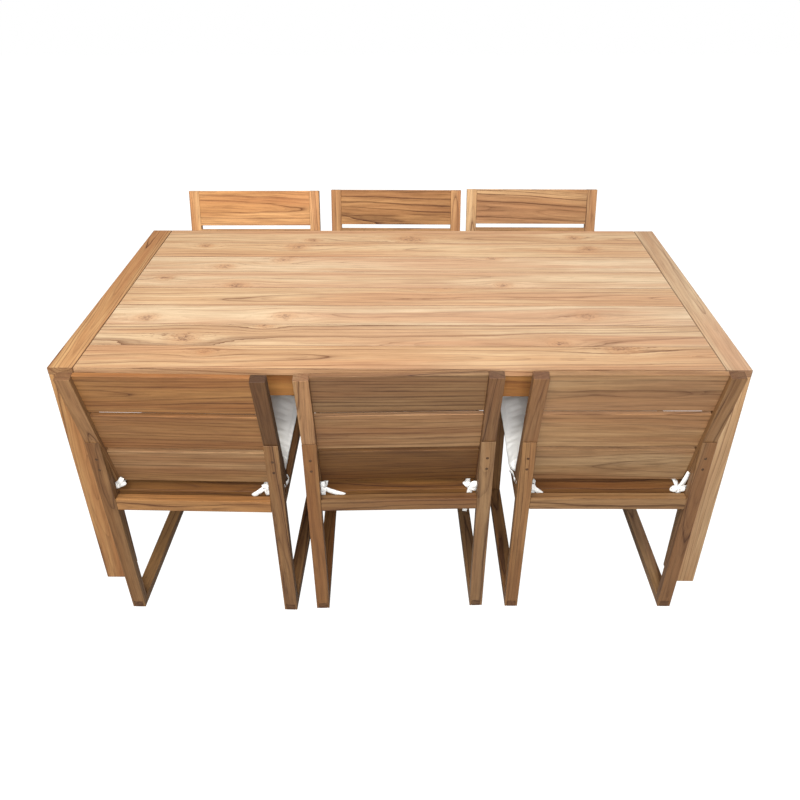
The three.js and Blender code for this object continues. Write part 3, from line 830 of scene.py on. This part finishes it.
def filled(mesh):
    """The pad blown up by a cloth simulation, with its seam held."""
    thing = bpy.data.objects.new("pad", mesh)
    bpy.context.scene.collection.objects.link(thing)
    held = thing.vertex_groups.new(name="seam")
    for v in mesh.vertices:
        if abs(v.co.z - SEAM_HEIGHT) < PAD_STEP * 0.6 and abs(v.normal.z) < 0.6:
            held.add([v.index], 1.0, "REPLACE")
    cloth = thing.modifiers.new("cloth", "CLOTH")
    cloth.point_cache.frame_end = PAD_FRAMES
    settings = cloth.settings
    settings.quality = PAD_QUALITY
    settings.mass = PAD_MASS
    settings.bending_stiffness = PAD_BENDING
    settings.use_pressure = True
    settings.uniform_pressure_force = PAD_PRESSURE
    settings.effector_weights.gravity = 0
    settings.vertex_group_mass = "seam"
    settings.shrink_min = PAD_SHRINK
    for step in range(1, PAD_FRAMES + 1):
        bpy.context.scene.frame_set(step)
    blown = bpy.data.meshes.new_from_object(thing.evaluated_get(bpy.context.evaluated_depsgraph_get()))
    bpy.data.objects.remove(thing)
    bpy.context.scene.frame_set(1)
    for v, rest in zip(blown.vertices, mesh.vertices):
        move = v.co - rest.co
        if move.length > PAD_RISE:
            v.co = rest.co + move * (PAD_RISE / move.length)
    return blown


def waves(point, sizes, seed=Vector()):
    """The height of the cover's waves at a point."""
    return sum(noise.noise(point * frequency + seed) * height for frequency, height in sizes)


def sewn(mesh):
    """The filled pad flattened underneath where it rests, with its seam drawn in and the cloth's folds."""
    normals = [v.normal.copy() for v in mesh.vertices]
    for v, normal in zip(mesh.vertices, normals):
        edge = 1 - abs(normal.z)
        inward = Vector((normal.x, normal.y, 0))
        across = (v.co.z - SEAM_HEIGHT) / SEAM_WIDTH
        near_seam = math.exp(-((v.co.z - SEAM_HEIGHT) / PUCKER_REACH) ** 2)
        pucker = noise.noise(v.co * PUCKER_FREQUENCY) * PUCKER_DEPTH * near_seam
        v.co -= inward * (SEAM_DEPTH * math.exp(-across * across) * edge + pucker)
        v.co += normal * waves(v.co, FOLDS)
        v.co.z = max(v.co.z, REST_HEIGHT + REST_UNEVENNESS * noise.noise(v.co * REST_FREQUENCY))


def pad_mesh():
    start = made_with(plain_pad(), "REMESH", mode="VOXEL", voxel_size=PAD_STEP)
    start = filled(start)
    fine = made_with(start, "SUBSURF", levels=1, render_levels=1)
    sewn(fine)
    weave = fine.attributes.new("weave", "FLOAT_VECTOR", "POINT")
    weave.data.foreach_set("vector", np.array([v.co for v in fine.vertices], np.float32).ravel())
    fine.shade_smooth()
    return fine


def cushion(number, place, pad):
    """The same pad for every chair, turned side to side on every second one, each sat on differently."""
    body = f"chair{number}"
    mesh = pad.copy()
    side = -1 if number % 2 else 1
    seed = Vector((number * 7.3, 0, 0))
    for v in mesh.vertices:
        v.co.x *= side
        press = waves(v.co, PRESSES, seed)
        v.co.z += press * max(0, v.co.z - SEAM_HEIGHT) / (CUSHION_THICKNESS - SEAM_HEIGHT)
    if side < 0:
        mesh.flip_normals()
    mesh.transform(place @ Matrix.Translation((CUSHION_SHIFTS[number - 1], 0, 0)) @ pad_frame())
    piece = shown(f"{body}_cushion_cloth", mesh, CANVAS, body)
    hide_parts(f"{body}_cushion")
    return piece


# ---- Tie tapes ----

TAPE_WIDTH = 0.012
TAPE_THICKNESS = 0.0007
TURN_WIDTH = 0.009  # the tape where it is wound round the knot
TURN_RADIUS = 0.0045
NEARLY_FACING = 0.15  # a tape that runs this nearly towards its face keeps the last section's side


def smooth_route(points, steps=6):
    """A Catmull-Rom curve through the points."""
    points = [Vector(p) for p in points]
    points = [2 * points[0] - points[1], *points, 2 * points[-1] - points[-2]]
    route = []
    for a, b, c, d in zip(points, points[1:], points[2:], points[3:]):
        for i in range(steps):
            t = i / steps
            route.append(0.5 * (2 * b + (c - a) * t + (2 * a - 5 * b + 4 * c - d) * t * t
                                + (3 * b - a - 3 * c + d) * t ** 3))
    route.append(points[-2])
    return route


def tape(solid, points, face, width=TAPE_WIDTH):
    """A flat tape along the points, its flat side turned towards face."""
    route = smooth_route(points)
    face = Vector(face).normalized()
    sections = []
    for i, point in enumerate(route):
        along = (route[min(i + 1, len(route) - 1)] - route[max(i - 1, 0)]).normalized()
        wide = along.cross(face)
        if wide.length > NEARLY_FACING:
            wide.normalize()
        else:
            wide = sections[-1][1] if sections else along.orthogonal().normalized()
        up = wide.cross(along).normalized()
        corners = [(-1, -1), (1, -1), (1, 1), (-1, 1)]
        ring = [solid.verts.new(point + wide * a * width / 2 + up * b * TAPE_THICKNESS / 2)
                for a, b in corners]
        sections.append((ring, wide))
    rings = [ring for ring, wide in sections]
    for low, high in zip(rings, rings[1:]):
        for i in range(4):
            j = (i + 1) % 4
            solid.faces.new((low[i], low[j], high[j], high[i]))
    solid.faces.new(rings[0][::-1])
    solid.faces.new(rings[-1])


# For each chair the left and the right bow: where its knot is, (x outwards, z), its loops and its tails.
BOWS = [
    [((0.205, 0.448), [((-0.7, 1.0), 0.026), ((-0.8, 0.3), 0.020)], []),
     ((0.190, 0.446), [((-0.4, 1.0), 0.010)], [((-1.0, -0.75), 0.046), ((0.25, -1.0), 0.024)])],
    [((0.200, 0.438), [((0.1, 1.0), 0.024), ((0.3, -0.9), 0.020)],
      [((-1.0, -0.40), 0.060), ((0.1, -1.0), 0.075)]),
     ((0.191, 0.437), [((-0.9, 0.9), 0.022), ((0.9, 0.7), 0.020), ((0.8, -0.3), 0.016)],
      [((-0.1, -1.0), 0.024), ((-0.15, -1.0), 0.085)])],
    [((0.197, 0.436), [((0.2, 0.9), 0.010)], [((-1.0, -0.8), 0.034), ((0.0, -1.0), 0.022)]),
     ((0.192, 0.432), [((-1.0, -0.1), 0.018), ((0.9, 0.1), 0.018), ((0.1, -1.0), 0.014)],
      [((0.30, 1.0), 0.060)])],
    [((0.200, 0.440), [((-0.8, 0.7), 0.022), ((0.6, 0.8), 0.016)],
      [((-0.8, -0.8), 0.040), ((0.2, -1.0), 0.030)]),
     ((0.195, 0.441), [((-0.9, 0.5), 0.022), ((0.4, 0.9), 0.018)],
      [((-0.6, -1.0), 0.044), ((0.4, -1.0), 0.026)])],
    [((0.196, 0.440), [((-0.7, 0.8), 0.020), ((0.5, 0.8), 0.018)],
      [((-1.0, -0.6), 0.040), ((0.1, -1.0), 0.034)]),
     ((0.199, 0.438), [((-0.9, 0.6), 0.024), ((0.6, 0.6), 0.014)],
      [((-0.8, -0.9), 0.038), ((0.2, -1.0), 0.026)])],
    [((0.198, 0.441), [((-0.8, 0.6), 0.022), ((0.5, 0.9), 0.016)],
      [((-0.9, -0.7), 0.044), ((0.1, -1.0), 0.028)]),
     ((0.195, 0.440), [((-0.7, 0.7), 0.022), ((0.5, 0.7), 0.016)],
      [((-0.7, -0.9), 0.040), ((0.3, -1.0), 0.030)])],
]
KNOT_DEPTH = 0.021  # how far forward of the rear feet the knots sit, in the wedge behind the posts
BEHIND = (0, -1, 0.35)  # the way that a bow faces


def bow(solid, side, at, loops, tails):
    """A knot behind one post's foot. It is at (x, z); each loop and tail is a way, (x, z), and a length."""
    def place(x, z, forward=0.0):
        return Vector((side * x, KNOT_DEPTH + forward, z))

    x, z = at
    for (dx, dz), length in loops:
        far = Vector((dx, dz)).normalized() * length
        out = place(x + far.x * 0.5, z + far.y * 0.5, -0.007)
        back = place(x + far.x * 0.55, z + far.y * 0.55, 0.003)
        tape(solid, [place(x, z), out, place(x + far.x, z + far.y, -0.003), back, place(x, z, 0.001)], BEHIND)
    for (dx, dz), length in tails:
        far = Vector((dx, dz)).normalized() * length
        tape(solid, [place(x, z), place(x + far.x * 0.4, z + far.y * 0.4 + 0.002, -0.006),
                     place(x + far.x, z + far.y, -0.004)], BEHIND)
    angles = [math.radians(50 * i) for i in range(10)]
    turns = [place(x + TURN_RADIUS * math.cos(a), z + TURN_RADIUS * math.sin(a),
                   0.0035 * math.cos(a * 0.5) - 0.003) for a in angles]
    tape(solid, turns, BEHIND, TURN_WIDTH)


def ties_round(solid, side, at, shift):
    """The two tapes from a cushion's rear corner: under the slat, and round the outside of the post."""
    x, z = at
    rear = CUSHION_REAR
    edge = side * CUSHION_WIDTH / 2 + shift
    tape(solid, [(edge - side * 0.045, rear + 0.004, 0.4485), (side * (x - 0.004), rear - 0.012, 0.4385),
                 (side * (x - 0.003), 0.036, 0.4375), (side * x, KNOT_DEPTH + 0.004, z)], (0, 0.2, 1))
    out = side * (OUTSIDE + 0.0022)
    tape(solid, [(edge - side * 0.006, rear + 0.012, 0.452), (out, rear - 0.004, 0.450), (out, 0.040, 0.449),
                 (side * (OUTSIDE - 0.006), 0.0235, 0.447), (side * 0.222, 0.0215, 0.446),
                 (side * x, KNOT_DEPTH, z)], (side, -0.3, 0))


def ties(number, place, cushion_piece):
    solid = bmesh.new()
    shift = CUSHION_SHIFTS[number - 1]
    for side, (at, loops, tails) in zip((-1, 1), BOWS[number - 1]):
        ties_round(solid, side, at, shift)
        bow(solid, side, at, loops, tails)
    bmesh.ops.recalc_face_normals(solid, faces=solid.faces)
    weave = solid.verts.layers.float_vector.new("weave")
    for v in solid.verts:
        v[weave] = v.co
    for f in solid.faces:
        f.smooth = True
    solid.transform(place)
    piece = shown(f"chair{number}_tie_tapes", as_mesh(solid), CANVAS, f"chair{number}")
    world = piece.matrix_world.copy()
    piece.parent = cushion_piece
    piece.matrix_world = world


# ---- Floor, light and camera ----

def seen_only(tree, plain, bright, share):
    """A shader that is plain to the light, and has share of the bright one where the camera sees it."""
    switch = tree.nodes.new("ShaderNodeMixShader")
    seen = tree.nodes.new("ShaderNodeMath")
    seen.operation = "MULTIPLY"
    seen.inputs[1].default_value = share
    tree.links.new(tree.nodes.new("ShaderNodeLightPath").outputs["Is Camera Ray"], seen.inputs[0])
    tree.links.new(seen.outputs[0], switch.inputs[0])
    tree.links.new(plain, switch.inputs[1])
    tree.links.new(bright, switch.inputs[2])
    return switch.outputs[0]


FLOOR_HALF = 9.0
FLOOR_DROP = 0.0005  # under the feet, so that the two don't share a plane
FLOOR_GLOW = 1.25
FLOOR_GLOW_SHARE = 0.86  # the rest is the floor itself, which takes the shadows


def floor():
    mesh = bpy.data.meshes.new("floor")
    corners = [(x * FLOOR_HALF, y * FLOOR_HALF, 0) for x, y in ((-1, -1), (1, -1), (1, 1), (-1, 1))]
    mesh.from_pydata(corners, [], [(0, 1, 2, 3)])
    plane = bpy.data.objects.new("floor", mesh)
    bpy.context.scene.collection.objects.link(plane)
    s = Shader("pale_floor")
    s.surface.inputs["Base Color"].default_value = (0.45, 0.45, 0.45, 1)
    s.surface.inputs["Roughness"].default_value = 0.9
    glow = s.add("ShaderNodeEmission", {"Strength": FLOOR_GLOW})
    shader = seen_only(s.tree, s.surface.outputs[0], glow, FLOOR_GLOW_SHARE)
    s.tree.links.new(shader, s.tree.nodes["Material Output"].inputs["Surface"])
    mesh.materials.append(s.material)
    plane.location.z = -FLOOR_DROP


LIGHTS_AIM = Vector((0, 0, 0.4))
WORLD_STRENGTH = 0.16


def softbox(name, place, size, power, colour):
    light = bpy.data.lights.new(name, "AREA")
    light.shape = "RECTANGLE"
    light.size, light.size_y = size
    light.energy = power
    light.color = colour
    lamp = bpy.data.objects.new(name, light)
    lamp.location = place
    lamp.rotation_euler = (LIGHTS_AIM - Vector(place)).to_track_quat("-Z", "Y").to_euler()
    bpy.context.scene.collection.objects.link(lamp)


def studio():
    world = bpy.data.worlds.new("studio")
    world.use_nodes = True
    tree = world.node_tree
    background = tree.nodes["Background"]
    background.inputs["Color"].default_value = (1, 1, 1, 1)
    background.inputs["Strength"].default_value = WORLD_STRENGTH
    seen = tree.nodes.new("ShaderNodeBackground")
    seen.inputs["Color"].default_value = (1, 1, 1, 1)
    shader = seen_only(tree, background.outputs[0], seen.outputs[0], 1.0)
    tree.links.new(shader, tree.nodes["World Output"].inputs["Surface"])
    bpy.context.scene.world = world
    softbox("key", place=(-1.5, -2.3, 3.9), size=(2.4, 1.8), power=176, colour=(1, 0.968, 0.905))
    softbox("overhead", place=(0.6, 1.0, 3.4), size=(3.0, 2.0), power=46, colour=(0.94, 0.985, 1.10))
    softbox("front", place=(0.03, -2.9, 2.2), size=(0.6, 0.6), power=92, colour=(1, 1, 1))
    softbox("rear", place=(3.3, 2.2, 1.7), size=(1.6, 1.2), power=30, colour=(1, 1, 1))


CAMERA_LENS = 34.75  # mm
CAMERA_SENSOR = 36  # mm
CAMERA_PLACE = Vector((0.0308, -2.1827, 1.7530))  # from the middle of the table, on the floor
CAMERA_DOWN, CAMERA_TURN, CAMERA_ROLL = 0.5748, 0.0151, 0.0037  # radians


def camera():
    data = bpy.data.cameras.new("camera")
    data.lens = CAMERA_LENS
    data.sensor_width = CAMERA_SENSOR
    eye = bpy.data.objects.new("camera", data)
    front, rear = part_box("long_apron_front")[0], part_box("long_apron_rear")[1]
    middle = (front + rear) / 2
    turn = (Matrix.Rotation(CAMERA_TURN, 4, "Z") @ Matrix.Rotation(math.pi / 2 - CAMERA_DOWN, 4, "X")
            @ Matrix.Rotation(-CAMERA_ROLL, 4, "Z"))
    eye.matrix_world = Matrix.Translation(Vector((middle.x, middle.y, 0)) + CAMERA_PLACE) @ turn
    bpy.context.scene.collection.objects.link(eye)
    bpy.context.scene.camera = eye
    bpy.context.scene.view_settings.view_transform = "Standard"


camera()
studio()
floor()
table()
pad = pad_mesh()
for number in range(1, len(CHAIR_TONES_AND_SHADE) + 1):
    place = chair_place(number)
    chair(number, place)
    ties(number, place, cushion(number, place, pad))
